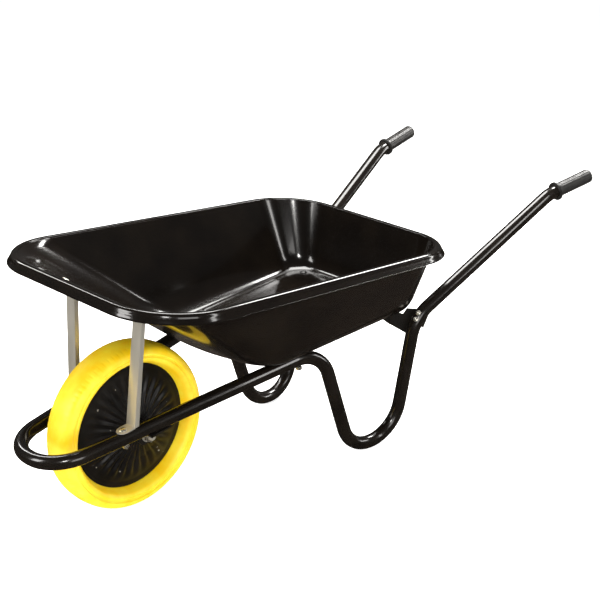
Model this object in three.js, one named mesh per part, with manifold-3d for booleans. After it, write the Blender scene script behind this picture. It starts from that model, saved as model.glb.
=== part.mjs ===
// A builder's wheelbarrow: a pressed pan on a bent tube frame, carried by one foam-filled wheel.
// Millimetres, +Z up. The wheel is at -Y, the handles are at +Y, and X is across the barrow.
// While the parts are being made, y = 0 is the wheel's axle and z = 0 is the ground. The last
// lines shift the whole barrow so that its origin is the centre of its footprint.
// "left" is the side of the person who pushes it, which is +X.

import * as THREE from 'three';
import { mergeVertices } from 'three/addons/utils/BufferGeometryUtils.js';
import { LoftGeometry } from 'three/addons/geometries/LoftGeometry.js';
import Module from 'manifold-3d';

const wasm = await Module();
wasm.setup();

const GAP = 0.3; // clearance between touching pieces
const SIDES = { left: 1, right: -1 };

// ---------------------------------------------------------------- driving dimensions

const TUBE = { radius: 15.5, bore: 14, bendRadius: 86, bendSteps: 5, sides: 12 };

// Virtual corners of the bent tube on the +X side, from the nose to the end of the handle.
const NOSE_Y = -242.5;
const CORNERS = {
  noseCentre: [GAP / 2, NOSE_Y, 187.3],
  noseSide: [78.4, NOSE_Y, 187.3],
  hump: [167.6, 413.9, 294.6],
  legFront: [167.7, 516, TUBE.radius],
  legRear: [177.3, 657.5, TUBE.radius],
  handleFoot: [210.2, 676.3, 311.5],
  handleTop: [274.3, 1068.9, 546.4],
  handleEnd: [290.6, 1199.6, 572.2],
};

const PAN = {
  sheet: 1.3,
  baseHalfWidth: 198,
  baseFront: 228,
  baseRear: 702,
  baseHeight: 271.6, // underside of the base where its plane crosses y = 0
  baseSlope: 0.08,
  baseBow: 20, // how far the front edge of the base bows forward
  filletFront: 42,
  filletRear: 24,
  filletReach: 0.22, // how far up the walls the turn from base to wall runs
  filletSteps: 4,
  wallShares: [0.42, 0.68, 0.975], // the last is where the wall turns out into the rim
  baseCornerFront: 80,
  baseCornerRear: 60,
  rimHalfWidthFront: 289.4,
  rimHalfWidthRear: 268.1,
  rimFront: -124.5,
  rimRear: 737.1,
  rimHeightFront: 533.9,
  rimHeightRear: 489.8,
  rimCornerFront: 138.6,
  rimCornerRear: 121.5,
  cornerSteps: 7,
  bowSteps: 4,
};
const RIM = { width: 12, roll: 3, skirt: 19.5, flare: 8.6 };

const AXLE_HEIGHT = 185;
const WHEEL_SEGMENTS = 60;
// Half sections as [distance from the wheel's middle plane, radius].
const TREAD = [[20, 183.5], [31, 180], [37, 174.5], [40.5, 166], [40, 157], [35, 149], [24, 143]];
const TYRE = { radius: 185, bead: 139.3, beadOut: 15.3, seat: 129.3, seatOut: 12.2 };
const DISC = {
  outside: [[0.15, 129], [12.5, 129], [12.5, 139], [15, 139], [15, 127.5], [17, 118], [24, 80], [38, 36], [40, 25]],
  inside: [[40, 22.3], [37.5, 22.3], [35.4, 36], [21.5, 80], [14.4, 118], [12.6, 126.4], [0.15, 126.4]],
  fluteHeight: 1.8,
  fluteInner: 25,
  fluteOuter: 122,
};
const HUB = { radius: 22, bore: 17.9, halfLength: 48 };
const BEARING = { outer: 17.6, bore: 7.8, width: 11, halfSpan: 48 };
const AXLE = { radius: 7.5, halfLength: 93 };
const LUG = { inner: 70, outer: 74, flangeEnd: 122, halfLength: 26, foot: 165, chamfer: 12, sheet: 4 };
const SPACER = { radius: 12, bore: 7.8 };

const STAY = {
  width: 28,
  depth: 10,
  sheet: 2.5,
  footX: 99.9,
  footY: -80,
  foldY: -62,
  topX: 113.2,
  topY: -47,
  tabLength: 34,
  clearance: 0.6, // between the tab and the pan, whose wall isn't quite flat
};

// The rear cross member: a flat bar, two pads under the pan, two wings and two flanges.
const CROSS = {
  sheet: 3,
  barY: 655,
  barEnd: 155,
  barOutline: [[120, 294], [153, 285], [156, 285], [156, 309], [154, 321], [138, 321]],
  barTop: 316,
  tab: { inner: 138, outer: 170, front: 654, rear: 689 },
  wingLow: [[155, 655, 285], [181, 681.5, 264], [194.5, 700, 260]],
  wingHigh: [[194.5, 700, 324], [180.6, 681, 326], [174.8, 674.5, 312], [168.7, 668.5, 315], [155, 655, 309]],
  flange: { halfWidth: 13, halfLength: 18, standOff: 18.7 },
};
// Where the cross member is bolted to the bend above each leg, and which way the heads face.
const CROSS_SEAT = { centre: [211.4, 689.2, 310.7], heads: [0.34, -0.812, 0.474], spacing: 16 };
const CROSS_BOLT_STEPS = { lower: -0.5, upper: 0.5 };

const GRIP = { start: 22.2, flangeRadius: 22.5, flangeWidth: 4.5, radius: 16.9, bore: 15.8, endWall: 3.2 };

const M8 = { radius: 4, hole: 4.4, head: 9, dome: 4.2, nutFlats: 13, nutHeight: 6.5 };
const M6 = { radius: 3, hole: 3.4, head: 6, dome: 3.2, nutFlats: 10, nutHeight: 5 };
const AXLE_NUT = { radius: AXLE.radius, hole: AXLE.radius + 0.2, nutFlats: 24, nutHeight: 10 };
const WASHER = { outer: 15, thickness: 2 };
const ROUND = 12; // sides of a small round piece
const HEX = 6;

// ---------------------------------------------------------------- materials

const paint = (color, roughness, metalness) => () =>
  new THREE.MeshStandardMaterial({ color, roughness, metalness });
const blackGloss = paint(0x15130f, 0.16, 0.1);
const blackSatin = paint(0x191714, 0.3, 0.1);
const zinc = paint(0xb9b6a6, 0.38, 0.9);
const brightSteel = paint(0xc8c6bd, 0.3, 0.95);
const yellowFoam = paint(0xf6d619, 0.5, 0);
const blackRubber = paint(0x1a1918, 0.65, 0);

// ---------------------------------------------------------------- solids

/** Turns a closed geometry into a solid that can be joined and cut. */
function solid(geometry) {
  const bare = new THREE.BufferGeometry();
  bare.setAttribute('position', geometry.getAttribute('position'));
  bare.setIndex(geometry.getIndex());
  const merged = mergeVertices(bare, 1e-3);
  return new wasm.Manifold(
    new wasm.Mesh({
      numProp: 3,
      vertProperties: merged.attributes.position.array,
      triVerts: new Uint32Array(merged.index.array),
    }),
  );
}

/** Turns a solid back into a geometry with flat faces. */
function toGeometry(made) {
  const mesh = made.getMesh();
  const geometry = new THREE.BufferGeometry();
  geometry.setAttribute('position', new THREE.BufferAttribute(mesh.vertProperties, 3));
  geometry.setIndex(new THREE.BufferAttribute(mesh.triVerts, 1));
  const flat = geometry.toNonIndexed();
  flat.computeVertexNormals();
  return flat;
}

/** Joins the first geometry with the others and cuts the last ones away. */
function combine(parts, cuts = []) {
  let made = solid(parts[0]);
  for (const part of parts.slice(1)) made = made.add(solid(part));
  for (const cut of cuts) made = made.subtract(solid(cut));
  return toGeometry(made);
}

/** Turns a geometry's +Z onto a direction and moves its origin to a place. */
function aim(geometry, place, direction) {
  const turn = new THREE.Quaternion().setFromUnitVectors(
    new THREE.Vector3(0, 0, 1),
    direction.clone().normalize(),
  );
  return geometry.applyQuaternion(turn).translate(place.x, place.y, place.z);
}

/** A closed profile of [radius, height] points turned about Z. */
function turned(profile, segments = ROUND) {
  const points = profile.map(([radius, height]) => new THREE.Vector2(radius, height));
  return new THREE.LatheGeometry(points, segments).rotateX(Math.PI / 2);
}

/** A ring or tube about Z, from a low to a high end. */
function ring(outer, bore, low, high, segments = ROUND) {
  return turned([[bore, low], [outer, low], [outer, high], [bore, high], [bore, low]], segments);
}

/** A round rod about Z, from a low to a high end. */
function rod(radius, low, high, segments = ROUND) {
  return turned([[0, low], [radius, low], [radius, high], [0, high]], segments);
}

/** A flat polygon in space given a thickness, half to each side. */
function panel(corners, thickness) {
  const normal = new THREE.Vector3();
  corners.forEach((corner, i) => {
    normal.add(corner.clone().cross(corners[(i + 1) % corners.length]));
  });
  normal.setLength(thickness / 2);
  const below = corners.map((corner) => corner.clone().sub(normal));
  const above = corners.map((corner) => corner.clone().add(normal));
  return new LoftGeometry([below, above], { capStart: true, capEnd: true });
}

const vector = ([x, y, z], side = 1) => new THREE.Vector3(side * x, y, z);
const onSide = (points, side) => points.map((point) => vector(point, side));
const along = (point, direction, distance) => point.clone().addScaledVector(direction, distance);
const ACROSS = new THREE.Vector3(1, 0, 0);

// ---------------------------------------------------------------- fasteners along +Z

/** A carriage bolt: domed head above the origin, shank below it. */
function carriageBolt({ radius, head, dome }, length) {
  const crown = [[head, 0], [head * 0.86, dome * 0.5], [head * 0.5, dome * 0.87], [0, dome]];
  return turned([[0, -length], [radius, -length], [radius, 0], ...crown]);
}

/** A hexagonal nut that stands on the origin. */
function hexNut({ hole, nutFlats, nutHeight }) {
  const corner = nutFlats / 2 / Math.cos(Math.PI / HEX);
  const outline = new THREE.Shape(
    Array.from({ length: HEX }, (_, i) => {
      const angle = (i * 2 * Math.PI) / HEX;
      return new THREE.Vector2(corner * Math.cos(angle), corner * Math.sin(angle));
    }),
  );
  outline.holes.push(new THREE.Path().absarc(0, 0, hole, 0, 2 * Math.PI, true));
  return new THREE.ExtrudeGeometry(outline, {
    depth: nutHeight,
    bevelEnabled: false,
    curveSegments: ROUND / 2,
  });
}

/** The rod that cuts a bolt's hole, to both sides of the origin. */
const drill = ({ hole }, reach) => rod(hole, -reach, reach);

/** A bolt and its nut on one axis: head and nut faces are distances along it. */
function boltPair(name, fastener, { point, normal }, { headAt, nutAt, length }) {
  const away = normal.clone().negate();
  return [
    [`${name}_bolt`, aim(carriageBolt(fastener, length), along(point, normal, headAt), normal), brightSteel],
    [`${name}_nut`, aim(hexNut(fastener), along(point, normal, nutAt), away), brightSteel],
  ];
}

// ---------------------------------------------------------------- frame tube

/** A route of straight lines joined by round bends, sampled only where it turns. */
class BentRoute extends THREE.Curve {
  constructor(corners) {
    super();
    const direction = (i) => corners[i + 1].clone().sub(corners[i]).normalize();
    this.samples = [{ point: corners[0], tangent: direction(0) }];
    for (let i = 1; i < corners.length - 1; i += 1) {
      this.addBend(corners[i], direction(i - 1), direction(i));
    }
    this.samples.push({ point: corners.at(-1), tangent: direction(corners.length - 2) });
  }

  addBend(corner, into, out) {
    const turn = into.angleTo(out);
    const axis = into.clone().cross(out).normalize();
    const start = along(corner, into, -TUBE.bendRadius * Math.tan(turn / 2));
    const centre = along(start, axis.clone().cross(into), TUBE.bendRadius);
    for (let i = 0; i <= TUBE.bendSteps; i += 1) {
      const angle = (turn * i) / TUBE.bendSteps;
      const arm = start.clone().sub(centre).applyAxisAngle(axis, angle);
      this.samples.push({ point: centre.clone().add(arm), tangent: into.clone().applyAxisAngle(axis, angle) });
    }
  }

  get steps() {
    return this.samples.length - 1;
  }

  between(share, key, target) {
    const place = share * this.steps;
    const low = Math.min(Math.floor(place + 1e-9), this.steps - 1);
    return target.lerpVectors(this.samples[low][key], this.samples[low + 1][key], Math.max(place - low, 0));
  }

  getPoint(share, target = new THREE.Vector3()) {
    return this.between(share, 'point', target);
  }

  getPointAt(share, target = new THREE.Vector3()) {
    return this.between(share, 'point', target);
  }

  getTangentAt(share, target = new THREE.Vector3()) {
    return this.between(share, 'tangent', target).normalize();
  }
}

/** The tube's round wall, swept along a route. */
function sweptTube(route) {
  const wall = new THREE.Shape().absarc(0, 0, TUBE.radius, 0, 2 * Math.PI);
  wall.holes.push(new THREE.Path().absarc(0, 0, TUBE.bore, 0, 2 * Math.PI, true));
  return new THREE.ExtrudeGeometry(wall, {
    steps: route.steps,
    extrudePath: route,
    curveSegments: TUBE.sides / 2,
    bevelEnabled: false,
  });
}

/** A place on the straight chassis side and the direction square to the tube, upwards. */
function chassisSeat(side, y) {
  const low = vector(CORNERS.noseSide, side);
  const rise = vector(CORNERS.hump, side).sub(low);
  const point = along(low, rise, (y - low.y) / rise.y);
  return { point, normal: ACROSS.clone().cross(rise).normalize() };
}

/** Both bolt places on the bend above a leg. */
function crossSeats(side) {
  const normal = vector(CROSS_SEAT.heads, side).normalize();
  const tube = ACROSS.clone().cross(normal).normalize();
  const centre = vector(CROSS_SEAT.centre, side);
  return Object.entries(CROSS_BOLT_STEPS).map(([name, step]) => {
    return { name, normal, point: along(centre, tube, step * CROSS_SEAT.spacing) };
  });
}

function makeFrameTube(side) {
  const route = new BentRoute(onSide(Object.values(CORNERS), side));
  const foot = stayFootSeat(side);
  const front = panBoltSeat('front', side);
  const cuts = [
    aim(drill(M8, 30), foot.point, foot.normal),
    aim(drill(M8, 50), front.point, front.normal),
    ...crossSeats(side).map(({ point, normal }) => aim(drill(M6, 30), point, normal)),
  ];
  return combine([sweptTube(route)], cuts);
}

// ---------------------------------------------------------------- pan

const baseZ = (y) => PAN.baseHeight + PAN.baseSlope * y;

const PAN_CORNERS = {
  front: {
    base: [PAN.baseHalfWidth, PAN.baseFront, baseZ(PAN.baseFront), PAN.baseCornerFront],
    rim: [PAN.rimHalfWidthFront, PAN.rimFront, PAN.rimHeightFront, PAN.rimCornerFront],
    fillet: PAN.filletFront,
    outwards: -1,
  },
  rear: {
    base: [PAN.baseHalfWidth, PAN.baseRear, baseZ(PAN.baseRear), PAN.baseCornerRear],
    rim: [PAN.rimHalfWidthRear, PAN.rimRear, PAN.rimHeightRear, PAN.rimCornerRear],
    fillet: PAN.filletRear,
    outwards: 1,
  },
};

/** A virtual corner a share of the way up the wall, and what it is once moved outwards. */
function panCorner({ base, rim, fillet, outwards }, { share, inset, out }) {
  const [x, y, z, radius] = base.map((low, i) => low + (rim[i] - low) * share);
  const move = out - fillet * inset;
  return { y, z, moved: { x: x + move, y: y + outwards * move, radius: radius + move } };
}

/** One ring of the pan, moved outwards and up; its plane leans with the base and the rim. */
function panRing({ share, inset = 0, out = 0, lift = 0 }) {
  const front = panCorner(PAN_CORNERS.front, { share, inset, out });
  const rear = panCorner(PAN_CORNERS.rear, { share, inset, out });
  const mirrored = ({ x, y, radius }) => ({ x: -x, y, radius });
  const outline = [front.moved, rear.moved, mirrored(rear.moved), mirrored(front.moved)];
  const tilt = (rear.z - front.z) / (rear.y - front.y);
  const bow = PAN.baseBow * (1 - share) ** 2;
  return roundedOutline(outline, bow).map(
    ([x, y]) => new THREE.Vector3(x, y, front.z + lift + (y - front.y) * tilt),
  );
}

/** A polygon with its corners rounded by arcs and its last side bowed forward. */
function roundedOutline(corners, bow) {
  const points = corners.flatMap((corner, i) => {
    const here = new THREE.Vector2(corner.x, corner.y);
    const towards = ({ x, y }) => new THREE.Vector2(x, y).sub(here).normalize();
    const back = towards(corners.at(i - 1));
    const ahead = towards(corners[(i + 1) % corners.length]);
    const half = Math.acos(back.dot(ahead)) / 2;
    const centre = back.clone().add(ahead).setLength(corner.radius / Math.sin(half)).add(here);
    const start = here.clone().addScaledVector(back, corner.radius / Math.tan(half));
    return Array.from({ length: PAN.cornerSteps + 1 }, (_, k) => {
      return start.clone().rotateAround(centre, ((Math.PI - 2 * half) * k) / PAN.cornerSteps);
    });
  });
  const reach = points[0].x;
  const side = Array.from({ length: PAN.bowSteps - 1 }, (_, k) => {
    const x = reach * ((2 * (k + 1)) / PAN.bowSteps - 1);
    return new THREE.Vector2(x, points[0].y - bow * (1 - (x / reach) ** 2));
  });
  return [...points, ...side];
}

/** The rings of one skin, from the base round the turn and up the walls. */
function wallRings(out, lift) {
  const turn = Array.from({ length: PAN.filletSteps + 1 }, (_, i) => {
    const done = i / PAN.filletSteps;
    return { share: PAN.filletReach * done * done, inset: (1 - done) * (1 - done), out, lift };
  });
  return [...turn, ...PAN.wallShares.map((share) => ({ share, out, lift }))];
}

/** The pressed sheet: everything inside its outer skin, less everything inside its inner skin. */
function makePan() {
  const { sheet } = PAN;
  const edge = RIM.width + RIM.roll;
  const low = edge + RIM.flare;
  const outer = [
    ...wallRings(sheet, 0),
    { share: 1, out: sheet + 3, lift: -sheet },
    { share: 1, out: RIM.width, lift: -sheet },
    { share: 1, out: edge - sheet, lift: -sheet - 1 },
    { share: 1, out: low - sheet, lift: -RIM.skirt },
    { share: 1, out: low, lift: -RIM.skirt },
    { share: 1, out: edge, lift: -RIM.roll },
    { share: 1, out: edge - 0.9, lift: -0.9 },
    { share: 1, out: RIM.width, lift: 0 },
    { share: 1, out: 0, lift: 9 },
  ];
  const inner = [
    ...wallRings(0, sheet),
    { share: 1, out: 1.2, lift: -1.2 },
    { share: 1, out: 4, lift: 0.02 },
    { share: 1, out: 4, lift: 20 },
  ];
  const skin = (rings) => new LoftGeometry(rings.map(panRing), { capStart: true, capEnd: true });
  const seats = Object.values(SIDES).flatMap((side) => [
    stayTopSeat(side),
    panBoltSeat('front', side),
    panBoltSeat('rear', side),
  ]);
  const holes = seats.map(({ point, normal }) => aim(drill(M8, 14), point, normal));
  return combine([skin(outer)], [skin(inner), ...holes]);
}

const PAN_BOLTS = { front: { x: 159.3, y: 352 }, rear: { x: 152, y: 671 } };

/** Where a pan bolt meets the underside of the base, and the base's upward direction. */
function panBoltSeat(end, side) {
  const { x, y } = PAN_BOLTS[end];
  return { point: new THREE.Vector3(side * x, y, baseZ(y)), normal: new THREE.Vector3(0, -PAN.baseSlope, 1).normalize() };
}

/** The underside of the front wall: a line up it in the Y-Z plane, and its inward direction. */
function frontWall() {
  const place = (share) => {
    const { y, z } = panCorner(PAN_CORNERS.front, { share, inset: 0, out: 0 });
    return new THREE.Vector3(0, y - PAN.sheet, z);
  };
  const low = place(PAN.filletReach);
  const up = place(PAN.wallShares.at(-1)).sub(low).normalize();
  return { up, normal: ACROSS.clone().cross(up).negate(), at: (y) => along(low, up, (y - low.y) / up.y) };
}

// ---------------------------------------------------------------- stays

const stayFootSeat = (side) => chassisSeat(side, STAY.footY);

/** Where the stay's top bolt meets the underside of the front wall. */
function stayTopSeat(side) {
  const { up, normal, at } = frontWall();
  const fold = at(STAY.topY).setX(side * STAY.topX);
  return { point: along(fold, up, STAY.tabLength / 2), normal };
}

/** A sheet across X, from one point of the Y-Z plane to another. */
function crossSheet(from, to) {
  const half = STAY.width / 2;
  const corner = (x, point) => new THREE.Vector3(x, point.y, point.z);
  return panel([corner(-half, from), corner(half, from), corner(half, to), corner(-half, to)], STAY.sheet);
}

/** A stay: a channel with a round foot on the chassis tube and a tab under the front wall. */
function makeStay(side) {
  const { up, normal, at } = frontWall();
  const foot = stayFootSeat(side);
  const tube = foot.normal.clone().cross(ACROSS).normalize();
  const footPlace = along(foot.point, foot.normal, TUBE.radius + GAP + STAY.sheet / 2);
  const footAt = (y) => along(footPlace, tube, (y - footPlace.y) / tube.y);
  const tabAt = (y) => along(at(y), normal, -STAY.clearance - STAY.sheet / 2);
  const low = footAt(STAY.foldY);
  const high = tabAt(STAY.topY);
  const sheets = [crossSheet(footPlace, low), crossSheet(low, high), crossSheet(high, along(high, up, STAY.tabLength))];
  const wall = [low, footAt(low.y + STAY.depth), tabAt(high.y + STAY.depth), high];
  const across = STAY.width / 2 - STAY.sheet / 2 - 0.05;
  const walls = [-across, across].map((x) => panel(wall.map((point) => point.clone().setX(x)), STAY.sheet));
  const toe = aim(rod(STAY.width / 2 - 0.05, -STAY.sheet / 2 + 0.05, STAY.sheet / 2 - 0.05), footPlace.clone().setX(0), foot.normal);
  const lean = (STAY.topX - STAY.footX) / (high.z - low.z);
  const place = new THREE.Matrix4().makeShear(0, 0, 0, 0, side * lean, 0);
  place.setPosition(side * (STAY.footX - lean * low.z), 0, 0);
  const parts = [...sheets, toe, ...walls].map((part) => part.applyMatrix4(place));
  const top = stayTopSeat(side);
  return combine(parts, [
    aim(drill(M8, 24), foot.point, foot.normal).translate(0, 0, 0),
    aim(drill(M8, 14), top.point, top.normal),
  ]);
}

// ---------------------------------------------------------------- rear cross member

/** The flange behind the bend above a leg, square to its bolts. */
function crossFlange(side) {
  const seats = crossSeats(side);
  const { normal } = seats[0];
  const tube = ACROSS.clone().cross(normal).normalize();
  const wide = normal.clone().cross(tube);
  const { halfWidth, halfLength, standOff } = CROSS.flange;
  const centre = along(vector(CROSS_SEAT.centre, side), normal, -standOff - CROSS.sheet / 2);
  const corner = (a, b) => along(along(centre, wide, a * halfWidth), tube, b * halfLength);
  return panel([corner(-1, -1), corner(1, -1), corner(1, 1), corner(-1, 1)], CROSS.sheet);
}

function makeCrossMember() {
  const sides = Object.values(SIDES);
  const edge = CROSS.barOutline.map(([x, z]) => [x, CROSS.barY, z]);
  const bar = [...edge, [120, CROSS.barY, CROSS.barTop]];
  const outline = [...onSide(bar, 1), ...onSide(bar, -1).reverse()];
  const parts = [panel(outline, CROSS.sheet)];
  const cuts = [];
  for (const side of sides) {
    const { inner, outer, front, rear } = CROSS.tab;
    const tabZ = (y) => baseZ(y) - GAP - CROSS.sheet / 2;
    const tab = [[inner, front], [outer, front], [outer, rear], [inner, rear]];
    parts.push(panel(onSide(tab.map(([x, y]) => [x, y, tabZ(y)]), side), CROSS.sheet));
    parts.push(panel(onSide([...CROSS.wingLow, ...CROSS.wingHigh], side), CROSS.sheet));
    parts.push(crossFlange(side));
    const rearSeat = panBoltSeat('rear', side);
    cuts.push(aim(drill(M8, 12), rearSeat.point, rearSeat.normal));
    for (const { point, normal } of crossSeats(side)) cuts.push(aim(drill(M6, 34), point, normal));
  }
  return combine(parts, cuts);
}

// ---------------------------------------------------------------- wheel and axle, about X

/** Turns a piece made about Z onto the wheel's axle line; +Z becomes the given side. */
function onAxle(geometry, side = 1) {
  return aim(geometry, new THREE.Vector3(0, 0, AXLE_HEIGHT), vector([side, 0, 0]));
}

function makeTyre() {
  const half = [...TREAD, [TYRE.beadOut, TYRE.bead], [TYRE.seatOut, TYRE.bead], [TYRE.seatOut, TYRE.seat]];
  const upper = half.map(([out, radius]) => [radius, out]);
  const lower = half.map(([out, radius]) => [radius, -out]).reverse();
  const profile = [[TYRE.radius, 0], ...upper, ...lower, [TYRE.radius, 0]];
  return onAxle(turned(profile, WHEEL_SEGMENTS));
}

/** One pressed half of the wheel: a seat and lip for the tyre, and a fluted cone to the hub. */
function makeDisc(side) {
  const profile = [...DISC.outside, ...DISC.inside];
  const middle = (DISC.fluteInner + DISC.fluteOuter) / 2;
  const sections = Array.from({ length: WHEEL_SEGMENTS + 1 }, (_, i) => {
    const angle = ((i % WHEEL_SEGMENTS) * 2 * Math.PI) / WHEEL_SEGMENTS;
    const swing = i % 2 === 0 ? DISC.fluteHeight : -DISC.fluteHeight;
    return profile.map(([out, radius]) => {
      const share = Math.max(0, 1 - Math.abs(radius - middle) / (DISC.fluteOuter - middle));
      const height = out + swing * Math.min(1, 2 * share);
      return new THREE.Vector3(side * height, radius * Math.sin(angle), radius * Math.cos(angle));
    });
  });
  if (side < 0) sections.reverse();
  return new LoftGeometry(sections).translate(0, 0, AXLE_HEIGHT);
}

/** The plate that carries one end of the axle, with its flange under the chassis tube. */
function makeLug(side) {
  const { point, normal } = chassisSeat(side, 0);
  const centre = along(point, normal, -TUBE.radius - GAP - LUG.sheet / 2);
  const flangeZ = (y) => centre.z - ((y - centre.y) * normal.y) / normal.z;
  const flange = [[LUG.inner, -1], [LUG.flangeEnd, -1], [LUG.flangeEnd, 1], [LUG.inner, 1]];
  const top = panel(
    onSide(flange.map(([x, end]) => [x, end * LUG.halfLength, flangeZ(end * LUG.halfLength)]), side),
    LUG.sheet,
  );
  const middle = (LUG.inner + LUG.outer) / 2;
  const end = LUG.halfLength - 0.05;
  const outline = [
    [-end + LUG.chamfer, LUG.foot],
    [end - LUG.chamfer, LUG.foot],
    [end, LUG.foot + LUG.chamfer],
    [end, flangeZ(end)],
    [-end, flangeZ(-end)],
    [-end, LUG.foot + LUG.chamfer],
  ];
  const upright = panel(outline.map(([y, z]) => vector([side * middle, y, z])), LUG.outer - LUG.inner - 0.1);
  return combine([upright, top], [onAxle(rod(AXLE.radius + 0.3, -LUG.flangeEnd, LUG.flangeEnd))]);
}

// ---------------------------------------------------------------- grips

function makeGrip(side) {
  const bend = vector(CORNERS.handleTop, side);
  const end = vector(CORNERS.handleEnd, side);
  const direction = end.clone().sub(bend).normalize();
  const depth = end.distanceTo(bend) - GRIP.start + GAP;
  const length = depth + GRIP.endWall;
  const profile = [
    [0, depth],
    [GRIP.bore, depth],
    [GRIP.bore, 0],
    [GRIP.flangeRadius, 0],
    [GRIP.flangeRadius, GRIP.flangeWidth],
    [GRIP.radius, GRIP.flangeWidth + 1],
    [GRIP.radius, length - GRIP.endWall],
    [GRIP.radius - GRIP.endWall, length],
    [0, length],
  ];
  return aim(turned(profile, 20), along(bend, direction, GRIP.start), direction);
}

// ---------------------------------------------------------------- the whole barrow

/** Every piece that exists once, as [name, geometry, material]. */
function centrePieces() {
  return [
    ['pan', makePan(), blackGloss],
    ['rear_cross_member', makeCrossMember(), blackSatin],
    ['tyre', makeTyre(), yellowFoam],
    ['hub_tube', onAxle(ring(HUB.radius, HUB.bore, -HUB.halfLength, HUB.halfLength, 24)), blackSatin],
    ['axle', onAxle(rod(AXLE.radius, -AXLE.halfLength, AXLE.halfLength)), zinc],
  ];
}

/** The pieces threaded on one end of the axle, from the wheel outwards. */
function axlePieces(name, side) {
  const washerEnd = LUG.outer + GAP + WASHER.thickness;
  const bearingStart = BEARING.halfSpan - BEARING.width;
  const place = (geometry) => onAxle(geometry, side);
  return [
    [`bearing_${name}`, place(ring(BEARING.outer, BEARING.bore, bearingStart, BEARING.halfSpan)), brightSteel],
    [`axle_spacer_${name}`, place(ring(SPACER.radius, SPACER.bore, BEARING.halfSpan + GAP, LUG.inner - GAP)), zinc],
    [`axle_washer_${name}`, place(ring(WASHER.outer, SPACER.bore, LUG.outer + GAP, washerEnd)), zinc],
    [`axle_nut_${name}`, place(hexNut(AXLE_NUT).translate(0, 0, washerEnd + GAP)), zinc],
  ];
}

/** Every bolt and nut on one side. */
function sideFasteners(name, side) {
  const tubeFace = TUBE.radius + GAP;
  const sheetUp = tubeFace + STAY.sheet + GAP;
  const wall = PAN.sheet * 1.45 + 0.3; // the wall is thicker square to its face than the base
  const tabUnder = -STAY.clearance - STAY.sheet - GAP;
  const pan = PAN.sheet + GAP;
  const turn = { front: pan + 1.6, rear: pan + 1.1 }; // the heads stand where the base starts to turn up
  const padUnder = -GAP - CROSS.sheet - GAP;
  const groups = [
    boltPair('stay_foot', M8, stayFootSeat(side), { headAt: sheetUp, nutAt: -tubeFace, length: 44 }),
    boltPair('stay_top', M8, stayTopSeat(side), { headAt: wall + GAP, nutAt: tabUnder, length: 15 }),
    boltPair('pan_front', M8, panBoltSeat('front', side), { headAt: turn.front, nutAt: -34, length: 46 }),
    boltPair('pan_rear', M8, panBoltSeat('rear', side), { headAt: turn.rear, nutAt: padUnder, length: 15 }),
    ...crossSeats(side).map((seat) => {
      const nutAt = -CROSS.flange.standOff - CROSS.sheet - GAP;
      return boltPair(`cross_member_${seat.name}`, M6, seat, { headAt: tubeFace + 0.4, nutAt, length: 44 });
    }),
  ];
  return groups.flat().map(([piece, ...rest]) => [`${piece}_${name}`, ...rest]);
}

/** Every piece of one side, as [name, geometry, material]. */
function sidePieces(name, side) {
  return [
    [`frame_tube_${name}`, makeFrameTube(side), blackGloss],
    [`stay_${name}`, makeStay(side), zinc],
    [`axle_lug_${name}`, makeLug(side), blackSatin],
    [`wheel_disc_${name}`, makeDisc(side), blackSatin],
    [`grip_${name}`, makeGrip(side), blackRubber],
    ...axlePieces(name, side),
    ...sideFasteners(name, side),
  ];
}

const barrow = new THREE.Group();
const pieces = [...centrePieces(), ...Object.entries(SIDES).flatMap(([name, side]) => sidePieces(name, side))];
for (const [name, geometry, material] of pieces) {
  const mesh = new THREE.Mesh(geometry, material());
  mesh.name = name;
  barrow.add(mesh);
}

// Shift every piece so that the origin is the centre of the footprint, on the ground.
const bounds = new THREE.Box3().setFromObject(barrow);
const shift = bounds.getCenter(new THREE.Vector3()).setZ(bounds.min.z).negate();
for (const mesh of barrow.children) mesh.position.copy(shift);

export default barrow;
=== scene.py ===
"""A builder's wheelbarrow: a pressed pan on one bent tube, carried by a foam-filled wheel.

Sizes are in millimetres, with y = 0 at the wheel's axle, z = 0 on the ground and X across
the barrow. Each mesh is moved into the frame, in metres, as it is made.
"""

import logging
import math
from collections.abc import Callable, Iterable
from dataclasses import dataclass, field
from enum import Enum

import bmesh
import bpy
import numpy as np
from mathutils import Matrix, Vector


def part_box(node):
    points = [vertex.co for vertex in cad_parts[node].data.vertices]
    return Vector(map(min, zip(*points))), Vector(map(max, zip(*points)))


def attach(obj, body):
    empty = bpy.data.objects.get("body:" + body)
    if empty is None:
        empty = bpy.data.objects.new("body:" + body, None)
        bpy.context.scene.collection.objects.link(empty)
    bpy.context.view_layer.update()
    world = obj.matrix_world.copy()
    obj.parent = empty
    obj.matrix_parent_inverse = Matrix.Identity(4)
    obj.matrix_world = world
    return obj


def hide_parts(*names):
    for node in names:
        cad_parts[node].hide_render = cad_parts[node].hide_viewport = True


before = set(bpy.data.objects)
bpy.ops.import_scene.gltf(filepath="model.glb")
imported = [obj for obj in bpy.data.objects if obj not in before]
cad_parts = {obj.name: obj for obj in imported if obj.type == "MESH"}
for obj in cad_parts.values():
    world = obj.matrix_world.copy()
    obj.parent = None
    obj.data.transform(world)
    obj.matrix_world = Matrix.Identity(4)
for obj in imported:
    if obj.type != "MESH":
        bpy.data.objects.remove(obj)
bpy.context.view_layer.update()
AXLE_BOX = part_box("axle")
AXLE_Y = (AXLE_BOX[0].y + AXLE_BOX[1].y) / 2
AXLE_HEIGHT = (AXLE_BOX[0].z + AXLE_BOX[1].z) / 2 * 1000
MM = 0.001
SIDES = {"left": 1, "right": -1}
WHITE = (1, 1, 1, 1)
MERGE_WITHIN = 2e-6  # metres; points closer than this are one point
SLIVER = 1e-7  # metres; faces thinner than this are dropped
NOISE_MIDDLE = (0.3, 0.7)  # a noise rarely leaves this range

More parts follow.
